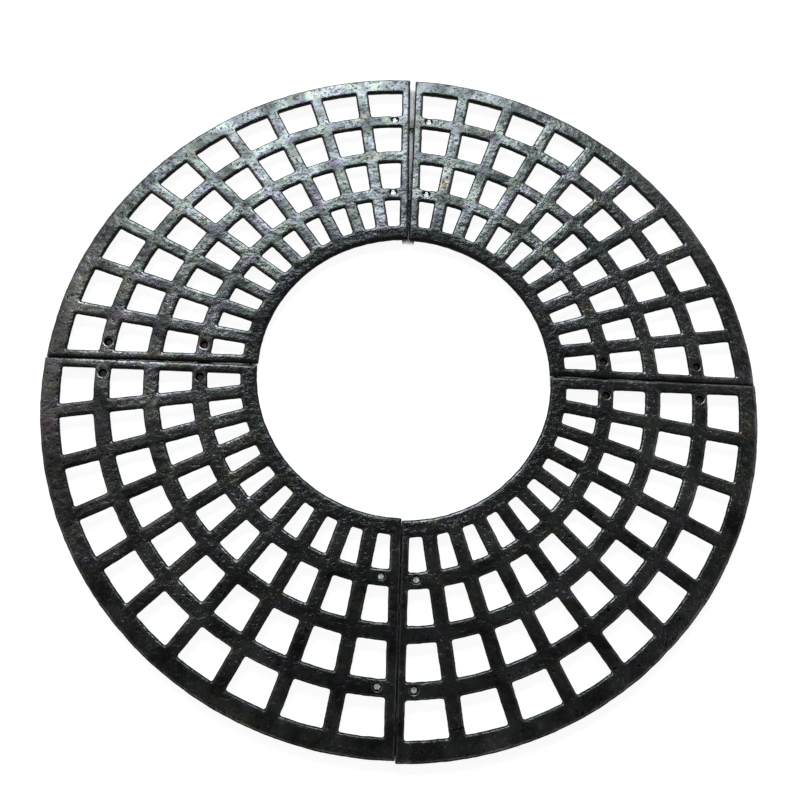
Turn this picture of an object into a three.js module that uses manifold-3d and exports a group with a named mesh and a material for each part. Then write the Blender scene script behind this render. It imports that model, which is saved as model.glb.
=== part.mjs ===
// Round tree grate of four quarter castings, laid around an open middle for the trunk
// and joined under their seams by slotted link plates, bolts and nuts.
// Millimetres. X to the right, Y to the back, Z up, the feet stand on Z = 0.

import * as THREE from 'three';
import { mergeVertices } from 'three/addons/utils/BufferGeometryUtils.js';
import Module from 'manifold-3d';

const wasm = await Module();
wasm.setup();

// Whole grate
const outerDiameter = 1200;
const openingDiameter = 500;
const frameDepth = 12;
const ribDepth = 8;
const footDepth = 9;

// Rings of iron, measured along a radius
const rimWidth = 30.3;
const innerRingWidth = 26;
const ribWidth = 25.2;
const ribCount = 3;

// Bars that run from the inner ring to the rim, in one quarter
const barCount = 9;
const barWidth = 22.8;
const edgeBarWidth = 14.2;
const fanOffset = 6;

// Cast surfaces
const edgeRounding = 3;
const outsideDraft = 2;
const openingDraft = 4;
const cornerFillet = 2.5;
const barRoot = 1;

// Feet, the two low rings under each casting
const rimFootWidth = 11;
const rimFootSetBack = 5;
const ringFootWidth = 9;
const ringFootSetBack = 10;
const footEndSetBack = 4;
const footDraft = 1;
const footRoot = 3;

// Seams between the quarters
const seamClearance = 4;

// Bolt holes, on the outermost and innermost ribs beside each seam
const holeOffset = 29;
const counterboreDiameter = 16;
const counterboreDepth = 9;
const boltClearance = 1;
const bossDiameter = 20;

// Bolts and nuts
const boltDiameter = 6;
const headAcrossFlats = 10;
const headHeight = 4;
const headChamfer = 0.6;
const nutAcrossFlats = 10;
const nutHeight = 3.2;
const threadClearance = 0.3;
const threadProud = 0.2;
const seatClearance = 0.3;

// Link plates
const plateWidth = 14;
const plateThickness = 3;
const plateEndMargin = 5;
const slotTravelShare = 2.2;

// Working allowance for cuts that pass right through
const overrun = 2;
const weldTolerance = 0.001;

// Facets
const outerArcSteps = 24;
const innerArcSteps = 16;
const undersideArcSteps = 12;
const counterboreSides = 12;
const boreSides = 8;
const slotEndSteps = 2;
const hexagonSides = 6;

// How the four rough quarters are cast and laid, as shares of the seam clearance: how far
// the first and last seam face stand off the seam lines, and how the quarter is moved
// right, moved back and swung round at the rim, anticlockwise from above
const quarterShares = [
  { name: 'north_east', first: 0.95, last: 0.3, right: -0.7, back: 0.55, swing: -1.8 },
  { name: 'north_west', first: 0.4, last: 0.7, right: 0.78, back: 0.85, swing: 1.8 },
  { name: 'south_west', first: 0.4, last: -0.1, right: 0.42, back: -0.16, swing: 0 },
  { name: 'south_east', first: 1.1, last: -0.7, right: -0.43, back: -1.1, swing: 0 },
];

// How far the bolt holes beside each seam sit off their places on the ribs, as shares of the
// seam clearance: out towards the rim, and round the ring anticlockwise from above
const holeShares = {
  north: { out: 0.75, round: 0 },
  west: { out: 0, round: -0.75 },
  south: { out: -0.4, round: 0 },
  east: { out: 0, round: 0.75 },
};

// The four seams, each between a quarter and the next one round
const seams = [
  { name: 'north', sides: ['east', 'west'] },
  { name: 'west', sides: ['north', 'south'] },
  { name: 'south', sides: ['west', 'east'] },
  { name: 'east', sides: ['south', 'north'] },
];

// Sizes worked out from those above
const outerRadius = outerDiameter / 2;
const openingRadius = openingDiameter / 2;
const topHeight = footDepth + frameDepth;
const ribBottom = topHeight - ribDepth;
const edgeLine = seamClearance / 2 + edgeBarWidth;
const fieldRadius = openingRadius + innerRingWidth;
const rowDepth = (outerRadius - rimWidth - fieldRadius - ribCount * ribWidth) / (ribCount + 1);
const rowPitch = rowDepth + ribWidth;
const rightAngle = Math.PI / 2;
const barPitchAngle = rightAngle / (barCount + 1);
const boreDiameter = boltDiameter + boltClearance;
const seatHeight = topHeight - counterboreDepth;
const headSeatHeight = seatHeight + seatClearance;
const plateTop = footDepth - seatClearance;
const plateBottom = plateTop - plateThickness;
const nutTop = plateBottom - seatClearance;
const nutBottom = nutTop - nutHeight;
const slotTravel = slotTravelShare * seamClearance;

// Materials
const castIron = () => new THREE.MeshStandardMaterial({ color: 0x2a2c2e, roughness: 0.5, metalness: 0.35 });
const zincSteel = () => new THREE.MeshStandardMaterial({ color: 0xc9ccce, roughness: 0.35, metalness: 0.9 });
const blackSteel = () => new THREE.MeshStandardMaterial({ color: 0x36383a, roughness: 0.55, metalness: 0.4 });

// Turns a closed geometry into a solid that can be joined and cut
function toSolid(geometry) {
  const bare = new THREE.BufferGeometry();
  bare.setAttribute('position', geometry.getAttribute('position'));
  bare.setIndex(geometry.index);
  const merged = mergeVertices(bare, weldTolerance);
  const corners = merged.index.array;
  const kept = [];
  for (let i = 0; i < corners.length; i += 3) {
    const [a, b, c] = [corners[i], corners[i + 1], corners[i + 2]];
    if (a !== b && b !== c && c !== a) {
      kept.push(a, b, c);
    }
  }
  const vertProperties = new Float32Array(merged.getAttribute('position').array);
  const triVerts = new Uint32Array(kept);
  return new wasm.Manifold(new wasm.Mesh({ numProp: 3, vertProperties, triVerts }));
}

// Turns a solid back into a geometry
function toGeometry(solid) {
  const { vertProperties, triVerts } = solid.getMesh();
  const geometry = new THREE.BufferGeometry();
  geometry.setAttribute('position', new THREE.BufferAttribute(vertProperties, 3));
  geometry.setIndex(new THREE.BufferAttribute(triVerts, 1));
  geometry.computeVertexNormals();
  return geometry;
}

// Closed skin through anticlockwise outlines of equal point count, lowest first
function loft(levels) {
  const count = levels[0].outline.length;
  const positions = levels.flatMap(({ z, outline }) => outline.flatMap(({ x, y }) => [x, y, z]));
  const faces = [];
  for (let level = 0; level < levels.length - 1; level += 1) {
    for (let i = 0; i < count; i += 1) {
      const a = level * count + i;
      const b = level * count + ((i + 1) % count);
      faces.push(a, b, b + count, a, b + count, a + count);
    }
  }
  const lowest = levels[0].outline;
  const highest = levels[levels.length - 1].outline;
  const firstOfTop = (levels.length - 1) * count;
  for (const [a, b, c] of THREE.ShapeUtils.triangulateShape(lowest, [])) {
    faces.push(c, b, a);
  }
  for (const [a, b, c] of THREE.ShapeUtils.triangulateShape(highest, [])) {
    faces.push(firstOfTop + a, firstOfTop + b, firstOfTop + c);
  }
  const geometry = new THREE.BufferGeometry();
  geometry.setAttribute('position', new THREE.Float32BufferAttribute(positions, 3));
  geometry.setIndex(faces);
  return geometry;
}

// A revolved solid about Z, its profile given as pairs of radius and height from the axis up
function revolve(profile, sides) {
  const points = profile.map(([radius, height]) => new THREE.Vector2(radius, height));
  return toSolid(new THREE.LatheGeometry(points, sides).rotateX(rightAngle));
}

// A point on a circle round the middle of the grate
function onCircle(radius, angle) {
  return new THREE.Vector2(radius * Math.cos(angle), radius * Math.sin(angle));
}

// A quarter ring between two radii whose first and last ends stay the given distances off
// the seam lines
function quarterRing(inner, outer, first, last, innerSteps, outerSteps) {
  const arc = (radius, steps) => {
    const start = Math.asin(first / radius);
    const sweep = rightAngle - Math.asin(last / radius) - start;
    return Array.from({ length: steps + 1 }, (_, i) => onCircle(radius, start + (sweep * i) / steps));
  };
  return [...arc(outer, outerSteps), ...arc(inner, innerSteps).reverse()];
}

// One side of an opening: a straight line, and the direction from it into the opening
function barSide(bar, towardsNext) {
  const angle = bar * barPitchAngle;
  const along = onCircle(1, angle);
  const into = new THREE.Vector2(-along.y, along.x).multiplyScalar(towardsNext ? 1 : -1);
  const foot = new THREE.Vector2(fanOffset, fanOffset).addScaledVector(into, barWidth / 2);
  return { foot, along, into };
}

function edgeSide(alongX) {
  const along = alongX ? new THREE.Vector2(1, 0) : new THREE.Vector2(0, 1);
  const into = alongX ? new THREE.Vector2(0, 1) : new THREE.Vector2(1, 0);
  const foot = into.clone().multiplyScalar(edgeLine);
  return { foot, along, into };
}

// Where a side, moved back by the growth, crosses a circle round the middle
function crossing({ foot, along, into }, growth, radius) {
  const start = foot.clone().addScaledVector(into, -growth);
  const run = start.dot(along);
  const reach = Math.sqrt(run * run - start.lengthSq() + radius * radius) - run;
  return start.addScaledVector(along, reach);
}

// Outline of one opening, grown by the given amount, with its four corners eased
function openingOutline(row, column, growth) {
  const inner = fieldRadius + row * rowPitch - growth;
  const outer = fieldRadius + row * rowPitch + rowDepth + growth;
  const first = column === 0 ? edgeSide(true) : barSide(column, true);
  const last = column === barCount ? edgeSide(false) : barSide(column + 1, false);
  const easedAngle = (side, radius, turn) => {
    const corner = crossing(side, growth, radius);
    return corner.angle() + (turn * cornerFillet) / radius;
  };
  const onSide = (side, radius, turn) => {
    return crossing(side, growth, radius).addScaledVector(side.along, turn * cornerFillet);
  };
  const outerStart = easedAngle(first, outer, 1);
  const outerEnd = easedAngle(last, outer, -1);
  const innerStart = easedAngle(first, inner, 1);
  const innerEnd = easedAngle(last, inner, -1);
  return [
    onSide(first, inner, 1),
    onSide(first, outer, -1),
    onCircle(outer, outerStart),
    onCircle(outer, (outerStart + outerEnd) / 2),
    onCircle(outer, outerEnd),
    onSide(last, outer, -1),
    onSide(last, inner, 1),
    onCircle(inner, innerEnd),
    onCircle(inner, (innerStart + innerEnd) / 2),
    onCircle(inner, innerStart),
  ];
}

// Cutter for one opening: wider downwards by the draft, and eased at its upper edge
function openingCutter(row, column) {
  const lower = openingOutline(row, column, openingDraft);
  const upper = openingOutline(row, column, edgeRounding);
  return toSolid(loft([
    { z: footDepth - overrun, outline: lower },
    { z: footDepth, outline: lower },
    { z: topHeight - edgeRounding, outline: openingOutline(row, column, 0) },
    { z: topHeight, outline: upper },
    { z: topHeight + overrun, outline: upper },
  ]));
}

// The two bolted ribs, and the four hole places that they give a quarter
function ribMiddle(rib) {
  return fieldRadius + rib * rowPitch + rowDepth + ribWidth / 2;
}

const boltedRibs = [
  { name: 'outer', radius: ribMiddle(ribCount - 1) },
  { name: 'inner', radius: ribMiddle(0) },
];

// Middle of a bolt hole in its casting, beside the seam of that name
function holePlace(radius, besideFirstEdge, seamName) {
  const { out, round } = holeShares[seamName];
  const along = Math.sqrt(radius * radius - holeOffset * holeOffset) + out * seamClearance;
  const drift = round * seamClearance;
  return besideFirstEdge
    ? new THREE.Vector2(along, holeOffset + drift)
    : new THREE.Vector2(holeOffset - drift, along);
}

// Hollow under the bars and ribs, which leaves the frame and the bolt bosses at full depth
function undersideHollow(firstSeam, lastSeam) {
  const inner = fieldRadius + barRoot;
  const outer = outerRadius - rimWidth - barRoot;
  const ends = edgeLine + barRoot;
  const outline = quarterRing(inner, outer, ends, ends, undersideArcSteps, undersideArcSteps);
  let hollow = toSolid(loft([
    { z: footDepth - overrun, outline },
    { z: ribBottom, outline },
  ]));
  const boss = revolve([
    [0, 0],
    [bossDiameter / 2, 0],
    [bossDiameter / 2, topHeight],
    [0, topHeight],
  ], counterboreSides);
  for (const { radius } of boltedRibs) {
    for (const seamName of [firstSeam, lastSeam]) {
      const { x, y } = holePlace(radius, seamName === firstSeam, seamName);
      hollow = hollow.subtract(boss.translate([x, y, 0]));
    }
  }
  return hollow;
}

// One casting: rim, ribs, bars and inner ring in one piece, on two low feet
function quarterCasting(firstFace, lastFace, firstSeam, lastSeam) {
  const slab = (growth) => {
    const [inner, outer] = [openingRadius - growth, outerRadius + growth];
    return quarterRing(inner, outer, firstFace - growth, lastFace - growth, innerArcSteps, outerArcSteps);
  };
  const body = toSolid(loft([
    { z: footDepth, outline: slab(-outsideDraft) },
    { z: topHeight - edgeRounding, outline: slab(0) },
    { z: topHeight, outline: slab(-edgeRounding) },
  ]));

  const foot = (inner, outer) => {
    const ring = (growth) => {
      const [first, last] = [firstFace, lastFace].map((face) => face + footEndSetBack - growth);
      return quarterRing(inner - growth, outer + growth, first, last, undersideArcSteps, undersideArcSteps);
    };
    return toSolid(loft([
      { z: 0, outline: ring(-footDraft) },
      { z: footDepth + footRoot, outline: ring(0) },
    ]));
  };
  const rimFootOuter = outerRadius - rimFootSetBack;
  const ringFootInner = openingRadius + ringFootSetBack;
  let casting = body.subtract(undersideHollow(firstSeam, lastSeam));
  casting = casting.add(foot(rimFootOuter - rimFootWidth, rimFootOuter));
  casting = casting.add(foot(ringFootInner, ringFootInner + ringFootWidth));

  for (let row = 0; row <= ribCount; row += 1) {
    for (let column = 0; column <= barCount; column += 1) {
      casting = casting.subtract(openingCutter(row, column));
    }
  }

  const counterbore = revolve([
    [0, seatHeight],
    [counterboreDiameter / 2, seatHeight],
    [counterboreDiameter / 2, topHeight + overrun],
    [0, topHeight + overrun],
  ], counterboreSides);
  const bore = revolve([
    [0, footDepth - overrun],
    [boreDiameter / 2, footDepth - overrun],
    [boreDiameter / 2, seatHeight + overrun],
    [0, seatHeight + overrun],
  ], boreSides);
  for (const { radius } of boltedRibs) {
    for (const seamName of [firstSeam, lastSeam]) {
      const { x, y } = holePlace(radius, seamName === firstSeam, seamName);
      casting = casting.subtract(counterbore.translate([x, y, 0]));
      casting = casting.subtract(bore.translate([x, y, 0]));
    }
  }
  return toGeometry(casting);
}

// Hexagon outline by its width across flats
function hexagon(acrossFlats) {
  const radius = acrossFlats / 2 / Math.cos(Math.PI / hexagonSides);
  return Array.from({ length: hexagonSides }, (_, i) => onCircle(radius, (i * 2 * Math.PI) / hexagonSides));
}

// Hexagon bolt, its origin on the axis at the level of the grate's feet
function boltGeometry() {
  const headTop = headSeatHeight + headHeight;
  const head = toSolid(loft([
    { z: headSeatHeight, outline: hexagon(headAcrossFlats) },
    { z: headTop - headChamfer, outline: hexagon(headAcrossFlats) },
    { z: headTop, outline: hexagon(headAcrossFlats - 2 * headChamfer) },
  ]));
  const shank = revolve([
    [0, nutBottom - threadProud],
    [boltDiameter / 2, nutBottom - threadProud],
    [boltDiameter / 2, headSeatHeight + headHeight / 2],
    [0, headSeatHeight + headHeight / 2],
  ], boreSides);
  return toGeometry(head.add(shank));
}

// Thin hexagon nut under the link plate
function nutGeometry() {
  const block = toSolid(loft([
    { z: nutBottom, outline: hexagon(nutAcrossFlats) },
    { z: nutTop, outline: hexagon(nutAcrossFlats) },
  ]));
  const boreRadius = boltDiameter / 2 + threadClearance;
  const bore = revolve([
    [0, nutBottom - overrun],
    [boreRadius, nutBottom - overrun],
    [boreRadius, nutTop + overrun],
    [0, nutTop + overrun],
  ], boreSides);
  return toGeometry(block.subtract(bore));
}

// Slotted link plate, lying along X with its middle under the seam
function plateGeometry() {
  const slotRadius = boreDiameter / 2;
  const halfLength = holeOffset + slotTravel / 2 + slotRadius + plateEndMargin;
  const halfWidth = plateWidth / 2;
  const outline = new THREE.Shape([
    new THREE.Vector2(-halfLength, -halfWidth),
    new THREE.Vector2(halfLength, -halfWidth),
    new THREE.Vector2(halfLength, halfWidth),
    new THREE.Vector2(-halfLength, halfWidth),
  ]);
  for (const middle of [-holeOffset, holeOffset]) {
    const slot = new THREE.Path();
    slot.absarc(middle + slotTravel / 2, 0, slotRadius, -rightAngle, rightAngle, false);
    slot.absarc(middle - slotTravel / 2, 0, slotRadius, rightAngle, -rightAngle, false);
    outline.holes.push(slot);
  }
  const solid = { depth: plateThickness, bevelEnabled: false, curveSegments: slotEndSteps };
  return new THREE.ExtrudeGeometry(outline, solid);
}

function named(name, geometry, material) {
  const mesh = new THREE.Mesh(geometry, material);
  mesh.name = name;
  return mesh;
}

// Lays the four quarters, each with the bolts and nuts that sit in its own holes
const boltShape = boltGeometry();
const nutShape = nutGeometry();
const plateShape = plateGeometry();
const grate = new THREE.Group();

const quarters = quarterShares.map(({ name, first, last, right, back, swing }, index) => {
  const lastSeam = seams[index].name;
  const firstSeam = seams.at(index - 1).name;
  const quarter = new THREE.Group();
  quarter.position.set(right * seamClearance, back * seamClearance, 0);
  quarter.rotation.z = index * rightAngle + Math.atan((swing * seamClearance) / outerRadius);
  const faces = [first, last].map((share) => share * seamClearance);
  const castingShape = quarterCasting(...faces, firstSeam, lastSeam);
  quarter.add(named(`quarter_casting_${name}`, castingShape, castIron()));
  quarter.updateMatrix();
  grate.add(quarter);
  return quarter;
});

// Joins each seam at its two bolted ribs
seams.forEach((seam, index) => {
  const before = { quarter: quarters[index], besideFirstEdge: false, side: seam.sides[0] };
  const after = { quarter: quarters[(index + 1) % quarters.length], besideFirstEdge: true, side: seam.sides[1] };
  for (const rib of boltedRibs) {
    const ends = [before, after].map(({ quarter, besideFirstEdge, side }) => {
      const { x, y } = holePlace(rib.radius, besideFirstEdge, seam.name);
      const bolt = named(`bolt_${seam.name}_${rib.name}_${side}`, boltShape, zincSteel());
      const nut = named(`nut_${seam.name}_${rib.name}_${side}`, nutShape, zincSteel());
      for (const piece of [bolt, nut]) {
        piece.position.set(x, y, 0);
        quarter.add(piece);
      }
      return new THREE.Vector3(x, y, 0).applyMatrix4(quarter.matrix);
    });
    const plate = named(`link_plate_${seam.name}_${rib.name}`, plateShape, blackSteel());
    plate.position.lerpVectors(ends[0], ends[1], 0.5);
    plate.position.z = plateBottom;
    plate.rotation.z = Math.atan2(ends[1].y - ends[0].y, ends[1].x - ends[0].x);
    grate.add(plate);
  }
});

// Stands the grate over the middle of its own footprint
const footprint = new THREE.Box3().setFromObject(grate, true);
const middle = footprint.getCenter(new THREE.Vector3());
grate.position.set(-middle.x, -middle.y, 0);
const part = new THREE.Group();
part.add(grate);

export default part;
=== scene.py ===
# Round cast iron tree grate: four quarter castings bolted to link plates, on a pale floor.
# Lengths are in metres. +Y points to the top of the photograph, the north seam.
import math

import bpy
import numpy as np
from mathutils import Matrix, Quaternion, Vector


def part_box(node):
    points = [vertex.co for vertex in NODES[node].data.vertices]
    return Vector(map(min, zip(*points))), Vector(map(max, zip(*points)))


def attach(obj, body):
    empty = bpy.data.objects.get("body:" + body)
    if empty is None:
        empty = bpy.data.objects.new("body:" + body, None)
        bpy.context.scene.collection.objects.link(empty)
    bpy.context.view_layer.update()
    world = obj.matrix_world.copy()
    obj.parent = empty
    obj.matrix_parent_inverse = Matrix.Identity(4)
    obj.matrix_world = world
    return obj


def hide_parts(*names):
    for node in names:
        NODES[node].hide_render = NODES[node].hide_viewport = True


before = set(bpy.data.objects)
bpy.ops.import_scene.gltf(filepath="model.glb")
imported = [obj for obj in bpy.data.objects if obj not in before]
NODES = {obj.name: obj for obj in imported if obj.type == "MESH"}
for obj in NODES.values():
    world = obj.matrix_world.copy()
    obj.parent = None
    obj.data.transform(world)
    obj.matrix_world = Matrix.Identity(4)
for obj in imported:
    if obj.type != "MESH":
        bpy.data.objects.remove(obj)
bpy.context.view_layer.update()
MM = 0.001

# Camera: the photographer's place, the turn as a vector along its axis, and the sensor's width
# and the lens in millimetres
CAMERA_PLACE = (-0.0410050, -0.4726350, 1.2370600)
CAMERA_TURN = Vector((0.3313460, -0.0333418, 0.0352483))
FOCAL_PIXELS = 775.42370
IMAGE_PIXELS = 800
SENSOR = 36.0
CLIP_END = 100

# Castings: fineness of the mesh, rounding of its edges, and what the walls gain to make up for it
VOXEL = 1.25 * MM
EDGE_ROUNDS = 13
EDGE_STEP = 0.5
SIDE_GAIN = 1.0 * MM

# Within this reach of a bolt the wall of its hole is thicker, and the side gain fades in beyond
HOLE_REACH = 9 * MM
HOLE_FADE = 3 * MM
HOLE_SKIN = 1.2 * MM

# The tops of rim and inner ring slope down to their edges, and the feet below stay level
RIM_START = 570 * MM
RING_END = 276 * MM
RIM_FALL = 0.045
RING_FALL = 0.08
FEET = 9 * MM
FRAME_DEPTH = 12 * MM

# Unevenness that the sand leaves: name, size, detail and height of each layer
SAND_LAYERS = (("waves", 45 * MM, 1, 1.1 * MM), ("lumps", 11 * MM, 2, 0.9 * MM))
SAND_MIDDLE = 0.55

# The coated top skin covers the level faces in this band under the highest point.
# Steeper and lower faces get a much darker copy of the coating: painted shade on walls and edge
# roundings
TOP_SLOPE = 0.85
TOP_BAND = 4.5 * MM

# The coating is darker on the inner ring, and brightens over a few millimetres beyond it
RING_DULL = 0.6
RING_RISE = 60

# Floor and backdrop
FLOOR_SIZE = 30.0
FLOOR_DROP = 0.2 * MM
FLOOR_GREY = (0.34, 0.34, 0.34)
FLOOR_GLOW = 0.93
WALL_RADIUS = 7.0
WALL_HEIGHT = 6.0
WALL_SIDES = 96
WALL_GREY = (0.3, 0.3, 0.3)
WALL_GLOW = 0.95

# Floor under the gaps between the quarters: painted shade, a dark colour with the white glow off,
# and painted light, a paler colour, in the far part of the north one. It looks white again where
# more than this share of the sky within reach is open
SEAM_HALF = 11 * MM
SEAM_INNER = 250 * MM
SEAM_OUTER = 616 * MM
SEAM_PAINTED_SHADE = 0.06
SEAM_PAINTED_LIGHT = 0.26
PAINTED_SHADE_UP_TO = 395 * MM
PAINTED_LIGHT_FROM = 425 * MM
SKY_REACH = 50 * MM
SKY_OPEN = 0.4
SKY_SAMPLES = 8

# World
WORLD_COLOUR = (1.0, 0.95, 0.91, 1)
WORLD_STRENGTH = 0.06


def link(obj):
    bpy.context.scene.collection.objects.link(obj)
    return obj


# Camera
camera_data = bpy.data.cameras.new("camera")
camera_data.sensor_width = SENSOR
camera_data.lens = FOCAL_PIXELS / IMAGE_PIXELS * SENSOR
camera_data.clip_end = CLIP_END
camera = link(bpy.data.objects.new("camera", camera_data))
turn = Quaternion(CAMERA_TURN.normalized(), CAMERA_TURN.length).to_matrix().to_4x4()
camera.matrix_world = Matrix.Translation(CAMERA_PLACE) @ turn
bpy.context.scene.camera = camera


# Materials
class Shader:
    """A material under construction, with short ways to add and join its nodes."""

    def __init__(self, name):
        self.material = bpy.data.materials.new(name)
        self.material.use_nodes = True
        self.tree = self.material.node_tree
        self.tree.nodes.clear()
        self.surface = self.add("OutputMaterial").inputs["Surface"]
        self.place = self.add("TexCoord").outputs["Object"]

    def add(self, kind):
        return self.tree.nodes.new("ShaderNode" + kind)

    def put(self, socket, value):
        """Join a socket to another one, or set its own value. A colour has three numbers."""
        if isinstance(value, bpy.types.NodeSocket):
            self.tree.links.new(value, socket)
        elif socket.type == "RGBA":
            socket.default_value = (*value, 1)
        else:
            socket.default_value = value

    def noise(self, size, detail, rough, warp=0.0, offset=(0, 0, 0)):
        """Noise whose largest blobs measure about size metres, as a value from 0 to 1."""
        where = self.add("Mapping")
        self.put(where.inputs["Location"], offset)
        self.put(where.inputs["Vector"], self.place)
        noise = self.add("TexNoise")
        self.put(noise.inputs["Vector"], where.outputs["Vector"])
        self.put(noise.inputs["Scale"], 1 / size)
        self.put(noise.inputs["Detail"], detail)
        self.put(noise.inputs["Roughness"], rough)
        self.put(noise.inputs["Distortion"], warp)
        return noise.outputs["Fac"]

    def ramp(self, value, stops):
        """Colour or level over a value, from (position, level or colour) stops."""
        ramp = self.add("ValToRGB")
        self.put(ramp.inputs["Fac"], value)
        elements = ramp.color_ramp.elements
        while len(elements) < len(stops):
            elements.new(0.5)
        for element, (position, level) in zip(elements, stops):
            element.position = position
            colour = level if isinstance(level, tuple) else (level, level, level)
            element.color = (*colour, 1)
        return ramp.outputs["Color"]

    def math(self, how, a, b, clamp=False):
        node = self.add("Math")
        node.operation = how
        node.use_clamp = clamp
        self.put(node.inputs[0], a)
        self.put(node.inputs[1], b)
        return node.outputs["Value"]

    def mix(self, share, a, b, blend="MIX"):
        node = self.add("Mix")
        node.data_type = "RGBA"
        node.blend_type = blend
        self.put(node.inputs["Factor"], share)
        self.put(node.inputs["A"], a)
        self.put(node.inputs["B"], b)
        return node.outputs["Result"]

    def multiply(self, a, b):
        return self.mix(1.0, a, b, "MULTIPLY")

    def radius(self):
        """Distance from the middle of the grate."""
        length = self.add("VectorMath")
        length.operation = "LENGTH"
        self.put(length.inputs[0], self.place)
        return length.outputs["Value"]

    def bump(self, height, distance, strength=1.0, under=None):
        bump = self.add("Bump")
        self.put(bump.inputs["Strength"], strength)
        self.put(bump.inputs["Distance"], distance)
        self.put(bump.inputs["Height"], height)
        if under is not None:
            self.put(bump.inputs["Normal"], under)
        return bump.outputs["Normal"]

    def principled(self, **sockets):
        """End in a Principled shader, with its sockets named in lower case."""
        body = self.add("BsdfPrincipled")
        for name, value in sockets.items():
            label = name.replace("_", " ").title().replace("Ior", "IOR")
            self.put(body.inputs[label], value)
        self.put(self.surface, body.outputs["BSDF"])
        return self.material


def coated_iron():
    """Glossy black coating, puddled over a pitted sand-cast skin."""
    s = Shader("coated_iron")
    blotch = s.noise(45 * MM, detail=5, rough=0.6, warp=0.4)
    hue = s.noise(32 * MM, detail=2, rough=0.5, warp=0.8, offset=(3, 1, 0))
    grain = s.noise(9.5 * MM, detail=4, rough=0.58, warp=0.3, offset=(0, 4, 0))
    pits = s.noise(5.8 * MM, detail=3, rough=0.55, warp=0.3, offset=(0, 0, 5))
    broad = s.noise(160 * MM, detail=2, rough=0.5, warp=0.5, offset=(7, 0, 2))
    tint = s.ramp(hue, [
        (0.28, (0.094, 0.074, 0.086)),
        (0.42, (0.080, 0.076, 0.082)),
        (0.50, (0.084, 0.080, 0.076)),
        (0.58, (0.074, 0.083, 0.070)),
        (0.72, (0.104, 0.084, 0.064)),
    ])
    worn = s.ramp(blotch, [(0.32, 0.26), (0.48, 0.88), (0.64, 1.65)])
    # The pits of the bump are also much darker in colour: painted shade in the hollows
    pit_height_and_shade = s.ramp(pits, [(0.32, 0.10), (0.44, 1.0)])
    patch = s.ramp(broad, [(0.36, 0.72), (0.62, 1.15)])
    beyond = s.math("SUBTRACT", s.radius(), RING_END, clamp=True)
    rise = s.math("MULTIPLY", beyond, RING_RISE, clamp=True)
    ring = s.math("ADD", rise, RING_DULL, clamp=True)
    dim = s.math("MULTIPLY", s.math("MULTIPLY", pit_height_and_shade, ring), patch)
    coarse = s.bump(grain, distance=1.0 * MM)
    return s.principled(
        base_color=s.multiply(s.multiply(tint, worn), dim),
        metallic=0.8,
        roughness=s.ramp(blotch, [(0.3, 0.32), (0.5, 0.22), (0.7, 0.15)]),
        normal=s.bump(pit_height_and_shade, distance=0.5 * MM, strength=0.7, under=coarse),
    )


def wall_painted_shade():
    """Matt walls, feet and underside, where the coating sank into the sand skin; their near-black
    colour is painted shade.
    """
    s = Shader("wall_painted_shade")
    blotch = s.noise(30 * MM, detail=4, rough=0.6, warp=0.3)
    grain = s.noise(4 * MM, detail=4, rough=0.6)
    return s.principled(
        base_color=s.ramp(blotch, [(0.3, (0.004, 0.004, 0.005)), (0.7, (0.014, 0.012, 0.010))]),
        metallic=0.0,
        roughness=s.ramp(grain, [(0.3, 0.9), (0.7, 0.62)]),
        specular_ior_level=0.2,
        normal=s.bump(grain, distance=0.8 * MM),
    )


def zinc(name, brown_cover):
    """Plated steel of bolts and nuts, partly brown: the higher the second argument, the more of
    it is brown.
    """
    s = Shader(name)
    blotch = s.noise(6 * MM, detail=4, rough=0.6, warp=0.4)
    grain = s.noise(2.8 * MM, detail=3, rough=0.6)
    clean = s.ramp(grain, [(0.38, (0.30, 0.29, 0.29)), (0.6, (0.93, 0.92, 0.93))])
    brown = s.ramp(grain, [(0.3, (0.018, 0.009, 0.005)), (0.7, (0.055, 0.030, 0.015))])
    cover = s.ramp(blotch, [(0.62 - brown_cover, 0.0), (0.74 - brown_cover, 1.0)])
    return s.principled(
        base_color=s.mix(cover, clean, brown),
        metallic=0.75,
        roughness=s.ramp(blotch, [(0.3, 0.55), (0.7, 0.75)]),
        normal=s.bump(grain, distance=0.2 * MM),
    )


def black_strip():
    """Black-coated steel strip of the link plates."""
    s = Shader("black_strip")
    blotch = s.noise(12 * MM, detail=4, rough=0.6, warp=0.3)
    grain = s.noise(2 * MM, detail=3, rough=0.6)
    return s.principled(
        base_color=s.ramp(blotch, [(0.3, (0.05, 0.045, 0.045)), (0.7, (0.12, 0.10, 0.095))]),
        metallic=0.6,
        roughness=s.ramp(grain, [(0.3, 0.35), (0.7, 0.55)]),
        normal=s.bump(grain, distance=0.2 * MM),
    )


TOP_SKIN = coated_iron()
SHADED_WALL_SKIN = wall_painted_shade()
ZINC = zinc("bright_zinc", brown_cover=0.0)
# The east and west bolts are browner than the north and south ones
BROWNER_ZINC = zinc("browner_zinc", brown_cover=0.4)
STRIP = black_strip()


# Castings with rounded edges and an uneven sand-cast skin
def clouds(name, size, depth):
    texture = bpy.data.textures.new(name, "CLOUDS")
    texture.noise_scale = size
    texture.noise_depth = depth
    return texture


SAND = [(clouds(name, size, depth), height) for name, size, depth, height in SAND_LAYERS]


def box_middle(node):
    low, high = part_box(node)
    return [(low[axis] + high[axis]) / 2 for axis in (0, 1)]


BOLT_PLACES = np.array([box_middle(node) for node in sorted(NODES) if node.startswith("bolt_")])


def points_of(mesh, group, name):
    """The places or directions of a mesh's vertices or faces, one row each."""
    items = getattr(mesh, group)
    values = np.empty(len(items) * 3, np.float32)
    items.foreach_get(name, values)
    return values.reshape(-1, 3)


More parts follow.
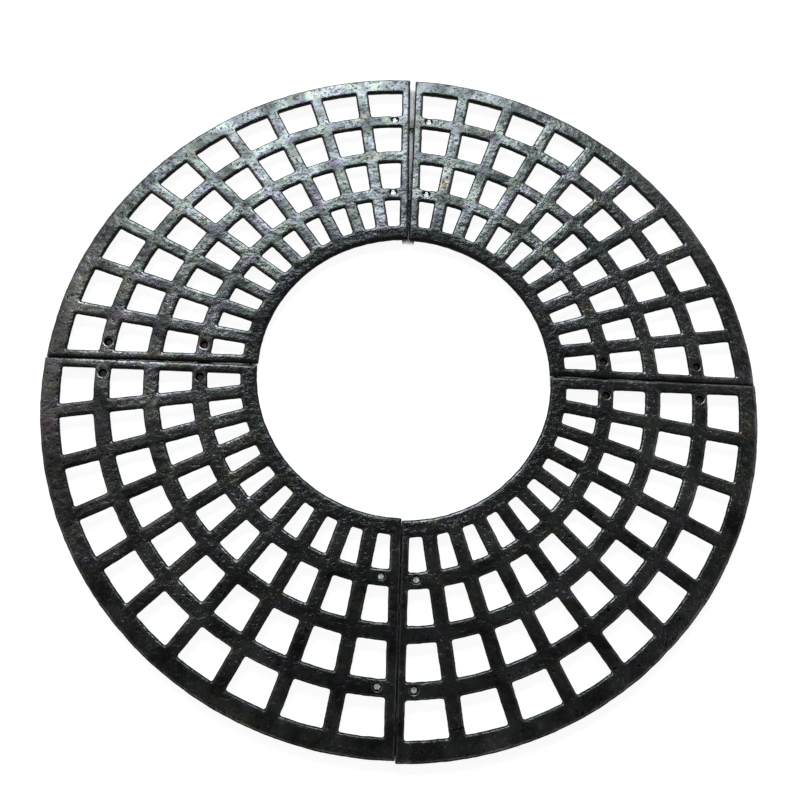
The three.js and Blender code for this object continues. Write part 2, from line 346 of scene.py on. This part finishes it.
def nearest_bolt(places):
    """The way from each place to the axis of the nearest bolt, and its length."""
    ways = BOLT_PLACES[None] - places[:, None, :2]
    lengths = np.linalg.norm(ways, axis=2)
    rows, nearest = np.arange(len(places)), lengths.argmin(axis=1)
    return ways[rows, nearest], lengths[rows, nearest]


def taken(piece):
    """A mesh of the piece as its modifiers leave it."""
    graph = bpy.context.evaluated_depsgraph_get()
    return bpy.data.meshes.new_from_object(piece.evaluated_get(graph))


def thicken_hole_walls(mesh):
    """Move what lies round a bolt towards its axis."""
    places = points_of(mesh, "vertices", "co")
    way, length = nearest_bolt(places)
    share = HOLE_SKIN / np.maximum(length, HOLE_SKIN) * (length < HOLE_REACH)
    places[:, :2] += share[:, None] * way
    mesh.vertices.foreach_set("co", places.ravel())


def split_in_voxels(piece):
    """Rebuild the piece's mesh from even voxels."""
    remesh = piece.modifiers.new("remesh", "REMESH")
    remesh.mode = "VOXEL"
    remesh.voxel_size = VOXEL
    remesh.use_smooth_shade = True
    voxels = taken(piece)
    piece.modifiers.clear()
    piece.data = voxels


def round_and_roughen(piece):
    """Round the edges over from above, and make the faces uneven."""
    smooth = piece.modifiers.new("edges", "SMOOTH")
    smooth.factor = EDGE_STEP
    smooth.iterations = EDGE_ROUNDS
    smooth.use_x = smooth.use_y = False
    for texture, height in SAND:
        displace = piece.modifiers.new(texture.name, "DISPLACE")
        displace.texture = texture
        displace.texture_coords = "GLOBAL"
        displace.mid_level = SAND_MIDDLE
        displace.strength = height
    mesh = taken(piece)
    piece.modifiers.clear()
    piece.data = mesh


def settle(mesh, low, high):
    """Thicken the walls, slope the tops of rim and inner ring, and keep within the box."""
    places = points_of(mesh, "vertices", "co")
    outward = points_of(mesh, "vertex_normals", "vector")
    gain = SIDE_GAIN * np.clip((nearest_bolt(places)[1] - HOLE_REACH) / HOLE_FADE, 0, 1)
    places[:, :2] += gain[:, None] * outward[:, :2]
    radius = np.linalg.norm(places[:, :2], axis=1)
    rim_fall = RIM_FALL * np.maximum(radius - RIM_START, 0)
    ring_fall = RING_FALL * np.maximum(RING_END - radius, 0)
    above_feet = np.clip((places[:, 2] - FEET) / FRAME_DEPTH, 0, 1)
    places[:, 2] -= (rim_fall + ring_fall) * above_feet
    places = np.clip(places, np.array(low, np.float32), np.array(high, np.float32))
    mesh.vertices.foreach_set("co", places.ravel())
    mesh.update()


def coat(mesh, top):
    """Give the level faces near the top the glossy skin, and all others the matt one, whose
    near-black colour is painted shade.
    """
    mesh.materials.clear()
    mesh.materials.append(TOP_SKIN)
    mesh.materials.append(SHADED_WALL_SKIN)
    steep = points_of(mesh, "polygons", "normal")[:, 2] < TOP_SLOPE
    below = points_of(mesh, "polygons", "center")[:, 2] < top - TOP_BAND
    mesh.polygons.foreach_set("material_index", (steep | below).astype(np.int32))
    mesh.polygons.foreach_set("use_smooth", np.ones(len(mesh.polygons), bool))


def cast_skin(node):
    """A fine copy of a casting, with rounded edges and faces as uneven as sand leaves them."""
    piece = link(bpy.data.objects.new("cast_" + node, NODES[node].data.copy()))
    piece.data.name = piece.name
    piece.data.materials.clear()
    thicken_hole_walls(piece.data)
    split_in_voxels(piece)
    round_and_roughen(piece)
    low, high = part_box(node)
    settle(piece.data, low, high)
    coat(piece.data, high[2])
    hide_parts(node)
    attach(piece, "root")


for node in sorted(NODES):
    if node.startswith("quarter_casting_"):
        cast_skin(node)
        continue
    if node.startswith("link_plate_"):
        skin = STRIP
    elif "_north_" in node or "_south_" in node:
        skin = ZINC
    else:
        skin = BROWNER_ZINC
    NODES[node].data.materials.clear()
    NODES[node].data.materials.append(skin)


# Floor and backdrop
def painted_seam_shade(s, colour):
    """The floor's colour with painted shade under the seams and painted light in the far part of
    the north one, and a mask that is 0 there and else 1.
    """
    axes = s.add("SeparateXYZ")
    s.put(axes.inputs["Vector"], s.place)
    x, y = axes.outputs["X"], axes.outputs["Y"]
    radius = s.radius()
    aside = s.math("MINIMUM", s.math("ABSOLUTE", x, 0), s.math("ABSOLUTE", y, 0))
    clear = s.math("GREATER_THAN", aside, SEAM_HALF)
    clear = s.math("MAXIMUM", clear, s.math("LESS_THAN", radius, SEAM_INNER))
    clear = s.math("MAXIMUM", clear, s.math("GREATER_THAN", radius, SEAM_OUTER))
    # Painted shade under all seams, turning to painted light in the far part of the north one
    shade = s.add("MapRange")
    s.put(shade.inputs["Value"], y)
    s.put(shade.inputs["From Min"], PAINTED_SHADE_UP_TO)
    s.put(shade.inputs["From Max"], PAINTED_LIGHT_FROM)
    s.put(shade.inputs["To Min"], SEAM_PAINTED_SHADE)
    s.put(shade.inputs["To Max"], SEAM_PAINTED_LIGHT)
    ground = s.mix(clear, shade.outputs["Result"], colour)
    sky = s.add("AmbientOcclusion")
    sky.samples = SKY_SAMPLES
    s.put(sky.inputs["Distance"], SKY_REACH)
    open_sky = s.math("GREATER_THAN", sky.outputs["AO"], SKY_OPEN)
    return ground, s.math("MAXIMUM", clear, open_sky)


def pale(name, colour, glow, seams=False):
    """A pale ground: it takes shadow as usual, and shows white to the eye and in gloss."""
    s = Shader(name)
    rays = s.add("LightPath")
    seen = rays.outputs["Is Camera Ray"]
    for kind in ("Is Glossy Ray", "Is Transmission Ray"):
        seen = s.math("MAXIMUM", seen, rays.outputs[kind])
    level = s.math("MULTIPLY", seen, glow)
    # Under the seams the glow goes off where the sky is closed in, and the colour there is
    # painted shade
    if seams:
        colour, clear = painted_seam_shade(s, colour)
        level = s.math("MULTIPLY", level, clear)
    lit = s.add("BsdfDiffuse")
    s.put(lit.inputs["Color"], colour)
    shine = s.add("Emission")
    s.put(shine.inputs["Strength"], level)
    both = s.add("AddShader")
    s.put(both.inputs[0], lit.outputs["BSDF"])
    s.put(both.inputs[1], shine.outputs["Emission"])
    s.put(s.surface, both.outputs["Shader"])
    return s.material


half = FLOOR_SIZE / 2
corners = [(-half, -half, 0), (half, -half, 0), (half, half, 0), (-half, half, 0)]
floor_mesh = bpy.data.meshes.new("floor")
floor_mesh.from_pydata(corners, [], [(0, 1, 2, 3)])
floor_mesh.materials.append(pale("pale_floor", FLOOR_GREY, FLOOR_GLOW, seams=True))
floor = link(bpy.data.objects.new("floor", floor_mesh))
floor.location.z = -FLOOR_DROP

angles = [2 * math.pi * i / WALL_SIDES for i in range(WALL_SIDES)]
circle = [(WALL_RADIUS * math.cos(a), WALL_RADIUS * math.sin(a)) for a in angles]
points = [(x, y, z) for z in (0, WALL_HEIGHT) for x, y in circle]
pairs = [(i, (i + 1) % WALL_SIDES) for i in range(WALL_SIDES)]
sides = [(a, b, b + WALL_SIDES, a + WALL_SIDES) for a, b in pairs]
wall_mesh = bpy.data.meshes.new("backdrop")
wall_mesh.from_pydata(points, [], sides)
wall_mesh.materials.append(pale("pale_backdrop", WALL_GREY, WALL_GLOW))
backdrop = link(bpy.data.objects.new("backdrop", wall_mesh))


# Light
def softbox(name, place, target, width, height, radiance, colour):
    """A rectangular lamp that faces its target, out of the camera's sight."""
    data = bpy.data.lights.new(name, "AREA")
    data.shape = "RECTANGLE"
    data.size = width
    data.size_y = height
    data.energy = radiance * math.pi * width * height
    data.color = colour
    lamp = link(bpy.data.objects.new(name, data))
    lamp.location = place
    lamp.rotation_euler = (Vector(target) - Vector(place)).to_track_quat("-Z", "Y").to_euler()
    lamp.visible_camera = False


softbox("sky_far", place=(-0.5, 3.6, 2.9), target=(0, 0.2, 0), width=3.5, height=2.6,
        radiance=8.8, colour=(0.76, 0.92, 1.0))
softbox("sky_left", place=(-3.0, 2.2, 4.2), target=(0, 0, 0), width=2.6, height=2.6,
        radiance=1.0, colour=(1.0, 0.96, 0.91))

world = bpy.data.worlds.new("studio")
bpy.context.scene.world = world
world.use_nodes = True
background = world.node_tree.nodes["Background"]
background.inputs["Color"].default_value = WORLD_COLOUR
background.inputs["Strength"].default_value = WORLD_STRENGTH

bpy.context.scene.view_settings.view_transform = "Standard"
